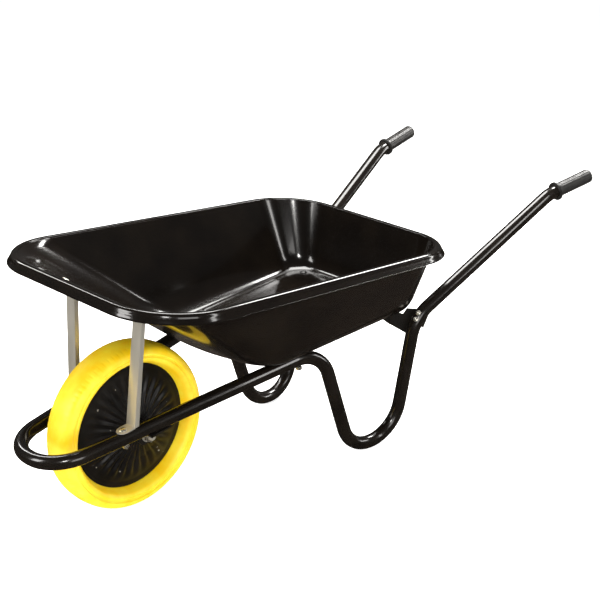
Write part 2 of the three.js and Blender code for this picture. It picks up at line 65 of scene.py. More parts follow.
logging.basicConfig(level=logging.INFO, format="%(message)s")
log = logging.getLogger("wheelbarrow")


class Body(Enum):
    """The moving bodies a piece can ride on."""

    FRAME = "frame"
    WHEEL = "wheel"


class Slot(Enum):
    """The finishes named in the record."""

    PAN = "pan_paint"
    FRAME = "frame_paint"
    ZINC = "zinc_plate"
    STEEL = "bright_steel"
    FOAM = "tyre_foam"
    GRIP = "grip_rubber"


# ---------------------------------------------------------------- finishes


def linear(code: str) -> tuple[float, float, float, float]:
    """Turns an sRGB hex colour into linear red, green, blue and alpha.

    Args:
        code: Six hex digits after a hash sign.
    Returns:
        The linear colour: c / 12.92 below 0.04045, else ((c + 0.055) / 1.055) to the 2.4.
    """
    parts = [int(code[i : i + 2], 16) / 255 for i in (1, 3, 5)]
    r, g, b = [c / 12.92 if c <= 0.04045 else ((c + 0.055) / 1.055) ** 2.4 for c in parts]
    return r, g, b, 1.0


class Recipe:
    """One material's node tree, built a node at a time round its shader."""

    def __init__(self, name: str) -> None:
        """Starts a material with an unlinked shader and Object coordinates.

        Args:
            name: The material's name.
        """
        self.material = bpy.data.materials.new(name)
        self.material.use_nodes = True
        self.tree = self.material.node_tree
        self.shader = self.tree.nodes["Principled BSDF"]
        self.place = self.add("ShaderNodeTexCoord").outputs["Object"]

    def add(self, kind: str, inputs: dict | None = None, **settings: object) -> bpy.types.Node:
        """Adds a node.

        Args:
            kind: The node's type name.
            inputs: Value, or the socket to link from, for each input's name or number.
            settings: The node's own attributes.
        Returns:
            The node.
        """
        node = self.tree.nodes.new(kind)
        for key, value in settings.items():
            setattr(node, key, value)
        self.fill(node, inputs or {})
        return node

    def fill(self, node: bpy.types.Node, inputs: dict) -> None:
        """Sets or links a node's inputs."""
        for key, value in inputs.items():
            if isinstance(value, bpy.types.NodeSocket):
                self.tree.links.new(value, node.inputs[key])
            else:
                node.inputs[key].default_value = value

    def noise(
        self, size_mm: float, detail: float = 2.0, stretch: tuple = (1, 1, 1)
    ) -> bpy.types.NodeSocket:
        """A noise on Object coordinates.

        Args:
            size_mm: How far across its features are.
            detail: How many finer layers it carries.
            stretch: Each axis's scale; a small one draws the features out along that axis.
        Returns:
            The noise, between 0 and 1.
        """
        at = self.add("ShaderNodeMapping", {"Vector": self.place, "Scale": stretch})
        inputs = {"Vector": at.outputs["Vector"], "Scale": 1 / (size_mm * MM), "Detail": detail}
        return self.add("ShaderNodeTexNoise", inputs).outputs["Fac"]

    def blend(
        self,
        factor: bpy.types.NodeSocket,
        first: str,
        second: str,
        low: float = 0.35,
        high: float = 0.65,
    ) -> bpy.types.NodeSocket:
        """A colour that runs from one hex value to another.

        Args:
            factor: The socket it follows.
            first: The colour where the factor is low or less.
            second: The colour where the factor is high or more.
            low: Where the run starts.
            high: Where the run ends.
        Returns:
            The colour.
        """
        ramp = self.add("ShaderNodeValToRGB", {"Fac": factor})
        for stop, position, colour in zip(ramp.color_ramp.elements, (low, high), (first, second)):
            stop.position = position
            stop.color = linear(colour)
        return ramp.outputs["Color"]

    def spread(self, factor: bpy.types.NodeSocket, low: float, high: float) -> bpy.types.NodeSocket:
        """A number that runs from low to high over the middle of a noise.

        Args:
            factor: The noise.
            low: The number at the middle's lower end and below.
            high: The number at its upper end and above.
        Returns:
            The number.
        """
        start, end = NOISE_MIDDLE
        inputs = {"From Min": start, "From Max": end, "To Min": low, "To Max": high}
        inputs["Value"] = factor
        return self.add("ShaderNodeMapRange", inputs).outputs["Result"]

    def relief(
        self,
        height: bpy.types.NodeSocket,
        depth_mm: float,
        under: bpy.types.NodeSocket | None = None,
    ) -> bpy.types.NodeSocket:
        """A bumped normal.

        Args:
            height: The height, from 0 to 1.
            depth_mm: How far the highest stands above the lowest.
            under: Another normal that this one is laid over.
        Returns:
            The normal.
        """
        inputs = {"Height": height, "Distance": depth_mm * MM, "Strength": 1.0}
        if under is not None:
            inputs["Normal"] = under
        return self.add("ShaderNodeBump", inputs).outputs["Normal"]

    def finish(self, **inputs: object) -> bpy.types.Material:
        """Sets the shader's sockets, with _ for a space in a name, and returns the material."""
        self.fill(self.shader, {key.replace("_", " "): value for key, value in inputs.items()})
        return self.material


@dataclass(frozen=True)
class PowderCoat:
    """Polyester powder coat, sprayed and baked: it flows out to a faint orange peel."""

    name: str
    slot: Slot
    dark: str
    light: str
    rough_low: float
    rough_high: float
    peel_mm: float = 5.0
    peel_depth: float = 0.012
    specular: float = 0.38
    coat: float = 0.35
    coat_rough: float = 0.04
    cloud_mm: float = 90
    dust_mm: float = 1.6

    def make(self) -> bpy.types.Material:
        """The material: dark pigment under a clear skin, slightly uneven in gloss."""
        recipe = Recipe(self.name)
        cloud = recipe.noise(self.cloud_mm, 3)
        dust = recipe.noise(self.dust_mm, 2)
        peel = recipe.relief(recipe.noise(self.peel_mm, 1), self.peel_depth)
        return recipe.finish(
            Base_Color=recipe.blend(cloud, self.dark, self.light),
            Roughness=recipe.spread(dust, self.rough_low, self.rough_high),
            Specular_IOR_Level=self.specular,
            Coat_Weight=self.coat,
            Coat_Roughness=self.coat_rough,
            Normal=peel,
        )


@dataclass(frozen=True)
class ZincPlate:
    """Bright zinc plate over rolled steel: grey with a warm passivate and fine rolling lines."""

    name: str
    slot: Slot
    dark: str
    light: str
    rough_low: float
    rough_high: float
    grain_mm: float = 1.2
    metallic: float = 0.95
    grain_depth: float = 0.02
    grain_stretch: tuple = (1, 1, 0.06)
    cloud_mm: float = 30
    cloud_stretch: tuple = (1, 1, 0.2)

    def make(self) -> bpy.types.Material:
        """The material: gloss that follows upright rolling lines, colour that clouds slowly.

        Rolling lines are a tenth of a millimetre apart; they are drawn grain_mm across, as
        fine as shows.
        """
        recipe = Recipe(self.name)
        lines = recipe.noise(self.grain_mm, 3, self.grain_stretch)
        cloud = recipe.noise(self.cloud_mm, 3, self.cloud_stretch)
        return recipe.finish(
            Base_Color=recipe.blend(cloud, self.dark, self.light, 0.3, 0.7),
            Metallic=self.metallic,
            Roughness=recipe.spread(lines, self.rough_low, self.rough_high),
            Normal=recipe.relief(lines, self.grain_depth),
        )


@dataclass(frozen=True)
class MouldedFoam:
    """Self-skinned polyurethane foam: an even satin skin with tiny pores and faint clouding."""

    name: str
    slot: Slot
    dark: str
    light: str
    cloud_mm: float = 38
    pore_mm: float = 1.3
    pore_depth: float = 0.05
    sheen_mm: float = 6
    sheen: tuple = (0.36, 0.5)
    swell_mm: float = 22
    swell_depth: float = 0.25
    glow: float = 0.08
    glow_reach: tuple = (0.006, 0.004, 0.001)

    def make(self) -> bpy.types.Material:
        """The material: a yellow skin with a little light inside it and faint swells.

        Pores are some tenths of a millimetre wide; they are drawn pore_mm across, as fine
        as shows.
        """
        recipe = Recipe(self.name)
        cloud = recipe.noise(self.cloud_mm, 4)
        skin = recipe.relief(recipe.noise(self.pore_mm, 3), self.pore_depth)
        return recipe.finish(
            Base_Color=recipe.blend(cloud, self.dark, self.light),
            Roughness=recipe.spread(recipe.noise(self.sheen_mm, 2), *self.sheen),
            Specular_IOR_Level=0.4,
            Subsurface_Weight=self.glow,
            Subsurface_Radius=self.glow_reach,
            Subsurface_Scale=1.0,
            Normal=recipe.relief(recipe.noise(self.swell_mm, 2), self.swell_depth, skin),
        )


@dataclass(frozen=True)
class MouldedRubber:
    """Dipped soft PVC: dull black, slightly polished on its high parts."""

    name: str
    slot: Slot
    dark: str
    light: str
    cloud_mm: float = 12
    sheen_mm: float = 9
    sheen: tuple = (0.34, 0.5)
    grain_mm: float = 1.1
    grain_depth: float = 0.04

    def make(self) -> bpy.types.Material:
        """The material: matt black with a fine leathery bump."""
        recipe = Recipe(self.name)
        grain = recipe.noise(self.grain_mm, 3)
        return recipe.finish(
            Base_Color=recipe.blend(recipe.noise(self.cloud_mm, 3), self.dark, self.light),
            Roughness=recipe.spread(recipe.noise(self.sheen_mm, 2), *self.sheen),
            Specular_IOR_Level=0.5,
            Normal=recipe.relief(grain, self.grain_depth),
        )


@dataclass(frozen=True)
class SatinPaintWithPaintedGlints:
    """The wheel's thin black paint: satin, with painted glints drawn as grey hairlines and specks.
    """

    name: str
    slot: Slot
    dark: str
    light: str
    glint_colour: str
    cloud_mm: float = 50
    sheen_mm: float = 5
    sheen: tuple = (0.3, 0.42)
    ripple_mm: float = 9
    ripple_depth: float = 0.02
    glint_speck_mm: float = 7.5
    glint_speck_over: tuple = (0.84, 0.87)
    glint_line_mm: float = 3.2
    glint_line_stretch: tuple = (1, 0.35, 1.2)
    glint_line_over: tuple = (0.76, 0.82)
    glint_line_share: float = 0.3

    def painted_glints(self, recipe: Recipe) -> bpy.types.NodeSocket:
        """Where glints are painted on: specks at a noise's peaks and hairlines at a drawn-out
        one's.

        Args:
            recipe: The material being made.
        Returns:
            How strongly the painted glint shows, from 0 to 1.
        """
        # Both marks are painted glints: grey specks and hairlines scattered at random over the
        # black.
        ramps = (
            (recipe.noise(self.glint_line_mm, 1, self.glint_line_stretch), self.glint_line_over, self.glint_line_share),
            (recipe.noise(self.glint_speck_mm, 0), self.glint_speck_over, 1.0),
        )
        marks = {}
        for index, (noise, (start, end), most) in enumerate(ramps):
            inputs = {"Value": noise, "From Min": start, "From Max": end, "To Max": most}
            marks[index] = recipe.add("ShaderNodeMapRange", inputs).outputs["Result"]
        return recipe.add("ShaderNodeMath", marks, operation="MAXIMUM").outputs["Value"]

    def make(self) -> bpy.types.Material:
        """The material: satin black, and grey where glints are painted."""
        recipe = Recipe(self.name)
        painted_glints = self.painted_glints(recipe)
        base = recipe.blend(recipe.noise(self.cloud_mm, 3), self.dark, self.light)
        # The grey mixed in here is painted glints, standing in for light caught on the flutes.
        mixed = recipe.add("ShaderNodeMix", {"Factor": painted_glints}, data_type="RGBA")
        recipe.fill(mixed, {6: base, 7: linear(self.glint_colour)})
        return recipe.finish(
            Base_Color=mixed.outputs[2],
            Roughness=recipe.spread(recipe.noise(self.sheen_mm, 2), *self.sheen),
            Specular_IOR_Level=0.32,
            Normal=recipe.relief(recipe.noise(self.ripple_mm, 2), self.ripple_depth),
        )


# Orange peel is a few millimetres across. On the pan it is drawn 14 mm across, coarser than
# real, so that it shows as a slow ripple.
PAN_GLOSS = PowderCoat(
    "black_gloss_powder_coat", Slot.PAN, "#0c0907", "#130f0b", 0.14, 0.16,
    peel_mm=14, peel_depth=0.01, specular=0.34, coat=0.3,
)
TUBE_GLOSS = PowderCoat(
    "black_gloss_tube_coat", Slot.FRAME, "#0f0c09", "#17130f", 0.16, 0.24, peel_mm=3.5
)
BRACKET_SATIN = PowderCoat(
    "black_satin_powder_coat", Slot.FRAME, "#100e0c", "#191613", 0.26, 0.36,
    peel_mm=3.0, peel_depth=0.02, specular=0.35, coat=0.1,
)
# The wheel paint's grey specks and hairlines are painted glints.
WHEEL_PAINT = SatinPaintWithPaintedGlints("black_wheel_paint", Slot.FRAME, "#0d0b0a", "#171411", "#8f8a80")
# Below fully metallic, as dull plate is: it keeps its pale grey where little is reflected.
ZINC = ZincPlate(
    "bright_zinc_plate", Slot.ZINC, "#c0bbae", "#cec9bd", 0.30, 0.42, metallic=0.7
)
STEEL = ZincPlate(
    "zinc_plated_fastener_steel", Slot.STEEL, "#cbc6ba", "#e4e0d5", 0.2, 0.34, grain_mm=0.8
)
FOAM = MouldedFoam("yellow_polyurethane_foam", Slot.FOAM, "#ffcf0e", "#ffe033")
RUBBER = MouldedRubber("black_soft_pvc", Slot.GRIP, "#171615", "#23211f")


# ---------------------------------------------------------------- mesh making


@dataclass
class Shell:
    """Points and quads of one or more grids, gathered into one mesh."""

    points: list[np.ndarray] = field(default_factory=list)
    quads: list[np.ndarray] = field(default_factory=list)
    count: int = 0

    def grid(self, points: np.ndarray, closed_u: bool = False, closed_v: bool = True) -> None:
        """Adds a grid of points as quads.

        Each quad joins row i, column j to the next row and column; a closed direction
        joins its last row or column back to its first.

        Args:
            points: Rows by columns by 3, in millimetres.
            closed_u: Whether the rows close into a loop.
            closed_v: Whether the columns close into a loop.
        """
        rows, columns, _ = points.shape
        i, j = np.meshgrid(
            np.arange(rows if closed_u else rows - 1),
            np.arange(columns if closed_v else columns - 1),
            indexing="ij",
        )
        up, over = (i + 1) % rows, (j + 1) % columns
        corners = [i * columns + j, i * columns + over, up * columns + over, up * columns + j]
        self.points.append(points.reshape(-1, 3))
        self.quads.append(np.stack(corners, -1).reshape(-1, 4) + self.count)
        self.count += rows * columns

    def lump(self, points: np.ndarray) -> None:
        """Adds a closed form: a grid whose first and last rows shrink to their middles."""
        caps = [np.broadcast_to(row.mean(0), row.shape) for row in (points[0], points[-1])]
        self.grid(np.concatenate([caps[0][None], points, caps[1][None]]))

    def build(self, name: str, crease: float = 32.0) -> bpy.types.Object:
        """Makes the object.

        Args:
            name: The piece's name.
            crease: Edges sharper than this many degrees are shaded as edges.
        Returns:
            The object, at the origin, with its faces outwards and its poles merged.
        """
        points = np.concatenate(self.points) * MM + np.array([0, AXLE_Y, 0])
        quads = np.concatenate(self.quads)
        mesh = bpy.data.meshes.new(name)
        mesh.vertices.add(len(points))
        mesh.vertices.foreach_set("co", points.ravel())
        mesh.loops.add(quads.size)
        mesh.loops.foreach_set("vertex_index", quads.ravel())
        mesh.polygons.add(len(quads))
        mesh.polygons.foreach_set("loop_start", np.arange(0, quads.size, 4))
        mesh.update(calc_edges=True)
        return finished(mesh, name, crease)


def finished(mesh: bpy.types.Mesh, name: str, crease: float) -> bpy.types.Object:
    """Merges doubled points, turns faces outwards, shades smooth and links the object.

    Args:
        mesh: The mesh as it was filled in.
        name: The object's name.
        crease: Edges sharper than this many degrees are shaded as edges.
    Returns:
        The object.
    """
    form = bmesh.new()
    form.from_mesh(mesh)
    bmesh.ops.remove_doubles(form, verts=form.verts, dist=MERGE_WITHIN)
    bmesh.ops.dissolve_degenerate(form, edges=form.edges, dist=SLIVER)
    bmesh.ops.recalc_face_normals(form, faces=form.faces)
    form.to_mesh(mesh)
    form.free()
    return shown(mesh, name, crease)


def shown(mesh: bpy.types.Mesh, name: str, crease: float) -> bpy.types.Object:
    """Shades a mesh smooth between its edges and links an object that shows it.

    Args:
        mesh: The mesh.
        name: The object's name.
        crease: Edges sharper than this many degrees are shaded as edges.
    Returns:
        The object.
    """
    mesh.shade_smooth()
    mesh.set_sharp_from_angle(angle=math.radians(crease))
    piece = bpy.data.objects.new(name, mesh)
    bpy.context.scene.collection.objects.link(piece)
    return piece


def turn(steps: int) -> np.ndarray:
    """Evenly spaced angles, once round, without the one that closes the circle."""
    return np.linspace(0, 2 * np.pi, steps, endpoint=False)


def rounded(profile: Iterable, rounds: int = 3) -> np.ndarray:
    """Rounds the corners of a line.

    Each round puts points at a quarter and three quarters of every stretch, and drops the
    corners between.

    Args:
        profile: The line's points, in two or three numbers each.
        rounds: How often that is done.
    Returns:
        The rounded line, with its ends where they were.
    """
    line = np.asarray(profile, float)
    for _ in range(rounds):
        quarter = line[:-1] * 0.75 + line[1:] * 0.25
        three = line[:-1] * 0.25 + line[1:] * 0.75
        pairs = np.stack([quarter, three], 1).reshape(-1, line.shape[1])
        line = np.concatenate([line[:1], pairs, line[-1:]])
    return line


def bevelled(profile: Iterable, cut: float = 0.6) -> np.ndarray:
    """Replaces each corner of a line by two points, one on each side of it.

    Args:
        profile: The line's points, as radius and distance along the axis.
        cut: How far from the corner they are, at most 0.4 of the stretch.
    Returns:
        The bevelled line, with its ends where they were.
    """
    line = np.asarray(profile, float)
    step = line[1:] - line[:-1]
    length = np.linalg.norm(step, axis=1, keepdims=True)
    step = step / length * np.minimum(cut, length * 0.4)
    pairs = np.stack([line[1:-1] - step[:-1], line[1:-1] + step[1:]], 1).reshape(-1, 2)
    return np.concatenate([line[:1], pairs, line[-1:]])


@dataclass(frozen=True)
class Axis:
    """A turning axis: a point in millimetres, its direction and two directions across it."""

    centre: np.ndarray
    along: np.ndarray
    across: np.ndarray

    @classmethod
    def towards(cls, centre: Iterable, along: Iterable) -> "Axis":
        """The axis through a point in a direction.

        Args:
            centre: The point, in millimetres.
            along: The direction, of any length.
        Returns:
            The axis.
        """
        way = np.asarray(along, float)
        way = way / np.linalg.norm(way)
        side = np.cross(way, [1.0, 0, 0] if abs(way[0]) < 0.8 else [0, 0, 1.0])
        return cls(np.asarray(centre, float), way, side / np.linalg.norm(side))

    @classmethod
    def wheel(cls, side: int = 1) -> "Axis":
        """The wheel's axle, pointing to one side."""
        return cls.towards([0, 0, AXLE_HEIGHT], [side, 0, 0])

    def revolve(self, profile: np.ndarray, steps: int = 48) -> np.ndarray:
        """Turns a profile about the axis.

        A point (r, t) at angle a goes to centre + along t + r (across cos a + third sin a).

        Args:
            profile: Points as radius and distance along the axis.
            steps: Points round the axis.
        Returns:
            Profile points by steps by 3.
        """
        angle = turn(steps)[:, None]
        third = np.cross(self.along, self.across)
        outwards = np.cos(angle) * self.across + np.sin(angle) * third
        middle = self.centre + profile[:, 1, None, None] * self.along
        return middle + profile[:, 0, None, None] * outwards

    def carve(self, profile: np.ndarray, depth: np.ndarray) -> np.ndarray:
        """Turns a profile about the axis and takes a depth off its radius.

        Args:
            profile: Points as radius and distance along the axis.
            depth: What comes off, profile points by points round the axis.
        Returns:
            Profile points by points round the axis by 3.
        """
        rings = self.revolve(profile, depth.shape[1])
        middle = self.centre + profile[:, 1, None, None] * self.along
        return rings - (rings - middle) / profile[:, 0, None, None] * depth[..., None]


@dataclass(frozen=True)
class TurnedPart:
    """What a CAD node with an axis of turning measures.

    Distances along the axis run from its middle: top is the headed end, end the other, and
    head and shank are the radii there.
    """

    RIM_BAND = 0.3
    END_BAND = 0.1

    axis: Axis
    top: float
    end: float
    head: float
    shank: float

    @classmethod
    def of(cls, node: str) -> "TurnedPart":
        """Measures a node, whose axis is the odd one of its three main directions.

        Args:
            node: The CAD node.
        Returns:
            Its axis and what it measures along it.
        """
        found = np.array([v.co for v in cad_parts[node].data.vertices], float)
        points = np.unique(np.round((found - [0, AXLE_Y, 0]) / MM, 3), axis=0)
        centre = points.mean(0)
        values, ways = np.linalg.eigh(np.cov((points - centre).T))
        way = ways[:, 2 if values[2] - values[1] > values[1] - values[0] else 0]
        t = (points - centre) @ way
        r = np.linalg.norm(points - centre - t[:, None] * way, axis=1)
        if t[r > r.max() - cls.RIM_BAND].mean() < (t.max() + t.min()) / 2:
            way, t = -way, -t
        low = t < t.min() + cls.END_BAND
        return cls(Axis.towards(centre, way), t.max(), t.min(), r.max(), r[low].max())


def place(piece: bpy.types.Object, body: Body, finish: object, *nodes: str) -> bpy.types.Object:
    """Paints a piece, puts it on its body and lets it stand for its CAD nodes.

    Args:
        piece: The finished object.
        body: The body it rides on.
        finish: The finish it is painted with.
        nodes: The CAD nodes it replaces.
    Returns:
        The same piece.
    """
    piece.data.materials.clear()
    piece.data.materials.append(paint(finish))
    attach(piece, body.value)
    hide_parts(*nodes)
    faces = len(piece.data.polygons)
    log.info("%s: %d faces, %s, on %s", piece.name, faces, finish.name, body.value)
    return piece


PAINTS: dict[str, bpy.types.Material] = {}


def paint(finish: object) -> bpy.types.Material:
    """The finish's material, made the first time it is asked for."""
    if finish.name not in PAINTS:
        PAINTS[finish.name] = finish.make()
    return PAINTS[finish.name]


def folded(node: str, name: str, edge_mm: float = 0.7) -> bpy.types.Object:
    """A copy of a flat-sided CAD node with its flats joined and its edges rounded.

    Args:
        node: The CAD node.
        name: The new piece's name.
        edge_mm: How wide the rounded edges are.
    Returns:
        The piece, with a live bevel.
    """
    flat, crease, bent = 1.5, 30, 35  # degrees
    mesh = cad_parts[node].data.copy()
    mesh.name = name
    form = bmesh.new()
    form.from_mesh(mesh)
    bmesh.ops.remove_doubles(form, verts=form.verts, dist=MERGE_WITHIN)
    limit = math.radians(flat)
    bmesh.ops.dissolve_limit(form, angle_limit=limit, verts=form.verts, edges=form.edges)
    form.to_mesh(mesh)
    form.free()
    piece = shown(mesh, name, crease)
    bevel = piece.modifiers.new("rounded_edges", "BEVEL")
    bevel.width = edge_mm * MM
    bevel.segments = 2
    bevel.limit_method = "ANGLE"
    bevel.angle_limit = math.radians(bent)
    bevel.harden_normals = True
    return piece


# ---------------------------------------------------------------- pan


@dataclass
class Pan:
    """The pressed sheet pan: base, turned-up walls and a rim rolled out and down.

    A corner is (x, y, z, radius). A profile point is (out, up), from the top of the wall.
    """

    BASE_LEVEL, BASE_SLOPE = 271.6, 0.08  # its height at y = 0, and how steeply it rises

    sheet: float = 1.3
    base_front: tuple = (198, 228, BASE_LEVEL + BASE_SLOPE * 228, 80)
    base_rear: tuple = (198, 702, BASE_LEVEL + BASE_SLOPE * 702, 60)
    rim_front: tuple = (289.4, -124.5, 533.9, 138.6)
    rim_rear: tuple = (268.1, 737.1, 489.8, 121.5)
    fillet_front: float = 42
    fillet_rear: float = 24
    fillet_reach: float = 0.22
    wall_top: float = 0.975
    bow: float = 20
    rim_edge: float = 15
    rim_top: tuple = (
        (0.6, -3.2), (1.0, -0.9), (3.4, -0.1), (8, 0), (11.0, -0.3), (15.0, -3.2), (16.9, -8.5),
    )
    rim_under: tuple = ((13.9, -4.6), (12.2, -2), (8, -1.4), (4.6, -1.5), (2.6, -3))
    skirt: float = 19.5
    skirt_from: float = 4
    flare: float = 8.6
    base_rings: tuple = (0.05, 0.35, 0.7, 0.9)
    turn_rings: int = 19
    wall_rings: int = 16
    corner_steps: int = 40
    side_steps: int = 12

    def corner(self, front: bool, share: float, inset: float, out: float) -> np.ndarray:
        """One corner of a ring, on the straight line from the base's corner to the rim's.

        Args:
            front: Whether it is a front corner.
            share: How far up that line it is.
            inset: How far the base's turn still has to go, which moves it inwards.
            out: How far it is moved outwards along both sides.
        Returns:
            The corner as (x, y, z, radius), on the left side.
        """
        low = np.array(self.base_front if front else self.base_rear, float)
        high = np.array(self.rim_front if front else self.rim_rear, float)
        move = out - (self.fillet_front if front else self.fillet_rear) * inset
        return low + (high - low) * share + move * np.array([1, -1 if front else 1, 0, 1])

    def ring(self, share: float, inset: float = 0, out: float = 0, lift: float = 0) -> np.ndarray:
        """One level ring of the pan.

        Four corners are joined by straight lines and rounded by arcs; the front line is
        bowed forward by bow (1 - share)^2 (1 - (x / reach)^2). The ring's plane leans, so
        that it runs from the base's slope to the rim's.

        Args:
            share: How far up the wall, from 0 at the base to 1 at the rim.
            inset: How far the base's turn still has to go, from 1 to 0.
            out: Distance moved outwards.
            lift: Distance moved upwards.
        Returns:
            Points round the ring by 3.
        """
        front, rear = (self.corner(end, share, inset, out) for end in (True, False))
        flip = np.array([-1, 1, 1, 1])
        corners = [front, rear, rear * flip, front * flip]
        arcs = [self.arc(corners[i - 1], corners[i], corners[(i + 1) % 4]) for i in range(4)]
        reach, y0 = arcs[0][0]
        step = np.linspace(0, 1, self.side_steps + 1)[1:-1, None]
        loop = []
        for i, arc in enumerate(arcs):
            ahead = arcs[(i + 1) % 4][0]
            line = arc[-1] + (ahead - arc[-1]) * step
            if i == 3:
                line[:, 1] = y0 - self.bow * (1 - share) ** 2 * (1 - (line[:, 0] / reach) ** 2)
            loop += [arc, line]
        flat = np.concatenate(loop)
        front_z = self.corner(True, share, 0, 0)
        rear_z = self.corner(False, share, 0, 0)
        tilt = (rear_z[2] - front_z[2]) / (rear[1] - front[1])
        z = front_z[2] + lift + (flat[:, 1] - front[1]) * tilt
        return np.concatenate([flat, z[:, None]], 1)

    def arc(self, before: np.ndarray, here: np.ndarray, after: np.ndarray) -> np.ndarray:
        """The arc that rounds a corner: of its radius, touching both lines through it.

        Args:
            before: The corner before.
            here: The corner that is rounded.
            after: The corner after.
        Returns:
            Points by 2.
        """
        steps = (corner[:2] - here[:2] for corner in (before, after))
        back, ahead = (step / np.linalg.norm(step) for step in steps)
        half = math.acos(back @ ahead) / 2
        middle = (back + ahead) / np.linalg.norm(back + ahead)
        centre = here[:2] + middle * here[3] / math.sin(half)
        start = here[:2] + back * here[3] / math.tan(half) - centre
        swept = (math.pi - 2 * half) * np.linspace(0, 1, self.corner_steps)[:, None]
        quarter = np.array([-start[1], start[0]])
        return centre + start * np.cos(swept) + quarter * np.sin(swept)

    def skin(self, out: float, lift: float) -> list[np.ndarray]:
        """One face of the sheet, from the middle of the base to the top of the wall.

        The turn from base to wall is a parabola: share = reach d^2 and inset = (1 - d)^2.

        Args:
            out: How far the face stands outwards of the inside.
            lift: How far it stands above the underside.
        Returns:
            Its rings, each points by 3.
        """
        edge = self.ring(0, 1, out, lift)
        middle = edge.mean(0)
        base = [middle + (edge - middle) * k for k in self.base_rings]
        turned = [
            self.ring(self.fillet_reach * d * d, (1 - d) ** 2, out, lift)
            for d in np.linspace(0, 1, self.turn_rings)
        ]
        walls = np.linspace(self.fillet_reach, self.wall_top, self.wall_rings)[1:]
        return base + turned + [self.ring(share, 0, out, lift) for share in walls]

    def rim(self) -> list[np.ndarray]:
        """The rim's rings: up over the top, round the roll, down the skirt and back under it."""
        low, foot = self.rim_edge + self.flare, -self.skirt
        drop = self.skirt - self.skirt_from
        skirt = [
            (self.rim_edge + self.flare * share, -self.skirt_from - drop * share)
            for share in (0.45, 0.7, 0.96)
        ]
        hem = [
            (low + 0.2, foot + 0.3), (low - 0.4, foot - 0.1), (low - 1.3, foot),
            (low - 4, foot + 5),
        ]
        profile = [*rounded(self.rim_top), *skirt, *hem, *self.rim_under]
        return [self.ring(1, 0, out, lift) for out, lift in profile]

    def make(self) -> bpy.types.Object:
        """The pan as one closed skin: up the inside, over the rim and down the outside."""
        shell = Shell()
        inside, outside = self.skin(0, self.sheet), self.skin(self.sheet, 0)
        shell.lump(np.stack([*inside, *self.rim(), *reversed(outside)]))
        return place(shell.build("pressed_pan", 50), Body.FRAME, PAN_GLOSS, "pan")


# ---------------------------------------------------------------- frame tube


@dataclass
class FrameTube:
    """One round tube, bent from the end of one handle, round the nose, to the other.

    The corners are those of its left half's centre line, from the nose to the handle.
    """

    radius: float = 15.5
    bend: float = 86
    steps: int = 22
    sides: int = 40
    corners: tuple = (
        (78.4, -242.5, 187.3), (167.6, 413.9, 294.6), (167.7, 516, 15.5), (177.3, 657.5, 15.5),
        (210.2, 676.3, 311.5), (274.3, 1068.9, 546.4), (290.6, 1199.6, 572.2),
    )

    def route(self) -> tuple[np.ndarray, np.ndarray]:
        """The centre line: straight lines joined by arcs of the bend's radius.

        Returns:
            Points and unit directions along the tube, each points by 3.
        """
        side = np.array(self.corners)
        line = np.concatenate([side[::-1] * [-1, 1, 1], side])
        way = np.diff(line, axis=0)
        way /= np.linalg.norm(way, axis=1, keepdims=True)
        points, ways = [line[:1]], [way[:1]]
        for corner, into, out in zip(line[1:-1], way[:-1], way[1:]):
            bent = math.acos(np.clip(into @ out, -1, 1))
            start = corner - into * self.bend * math.tan(bent / 2)
            inward = out - into * (into @ out)
            inward /= np.linalg.norm(inward)
            a = np.linspace(0, bent, self.steps)[:, None]
            points.append(start + self.bend * (into * np.sin(a) + inward * (1 - np.cos(a))))
            ways.append(into * np.cos(a) + inward * np.sin(a))
        return np.concatenate([*points, line[-1:]]), np.concatenate([*ways, way[-1:]])

    def make(self) -> bpy.types.Object:
        """The tube: a circle carried along the centre line without twisting."""
        points, ways = self.route()
        across = np.empty_like(ways)
        across[0] = np.cross(ways[0], [1.0, 0, 0])
        for i in range(1, len(ways)):
            across[i] = across[i - 1] - ways[i] * (across[i - 1] @ ways[i])
            across[i] /= np.linalg.norm(across[i])
        across[0] /= np.linalg.norm(across[0])
        angle = turn(self.sides)[None, :, None]
        third = np.cross(ways, across)[:, None]
        circles = np.cos(angle) * across[:, None] + np.sin(angle) * third
        shell = Shell()
        shell.lump(points[:, None] + self.radius * circles)
        piece = shell.build("bent_tube_frame", 50)
        return place(piece, Body.FRAME, TUBE_GLOSS, "frame_tube_left", "frame_tube_right")


@dataclass
class Grips:
    """The soft sleeves on the handles: a finger guard, long ribs and a domed end."""

    bore: float = 15.6
    guard_over: float = 5.6
    ribs: int = 16
    rib_depth: float = 0.55
    ribs_from: float = 12
    ribs_before_end: float = 6
    rings: int = 24
    steps: int = 128

    def make(self, name: str) -> bpy.types.Object:
        """One grip: a profile of radius and distance from the guard's face, turned and ribbed.

        Where it is ribbed, depth (1 - |cos(ribs a / 2)|)^1.5 comes off the radius, which
        leaves round ribs with narrow grooves between them.

        Args:
            name: The side.
        Returns:
            The grip.
        """
        part = TurnedPart.of(f"grip_{name}")
        length = part.top - part.end
        guard, sleeve = part.head, part.head - self.guard_over
        flange = [
            (self.bore, 0), (guard - 1.5, 0), (guard, 1.2), (guard, 3.4), (guard - 1.5, 4.6),
            (sleeve + 0.8, 5.2), (sleeve, 7),
        ]
        body = [(sleeve, t) for t in np.linspace(9, length - 8, self.rings)]
        dome = [
            (sleeve, length - 3.6), (sleeve - 0.9, length - 1.3), (sleeve - 3.2, length),
            (2, length),
        ]
        profile = np.array([*flange, *body, *dome], float)
        along = profile[:, 1]
        ribbed = (along > self.ribs_from) & (along < length - self.ribs_before_end)
        profile[:, 1] = part.top - along
        cut = self.rib_depth * (1 - np.abs(np.cos(self.ribs * turn(self.steps) / 2))) ** 1.5
        shell = Shell()
        shell.lump(part.axis.carve(profile, cut * ribbed[:, None]))
        piece = shell.build(f"handle_grip_{name}", 40)
        return place(piece, Body.FRAME, RUBBER, f"grip_{name}")


# ---------------------------------------------------------------- wheel


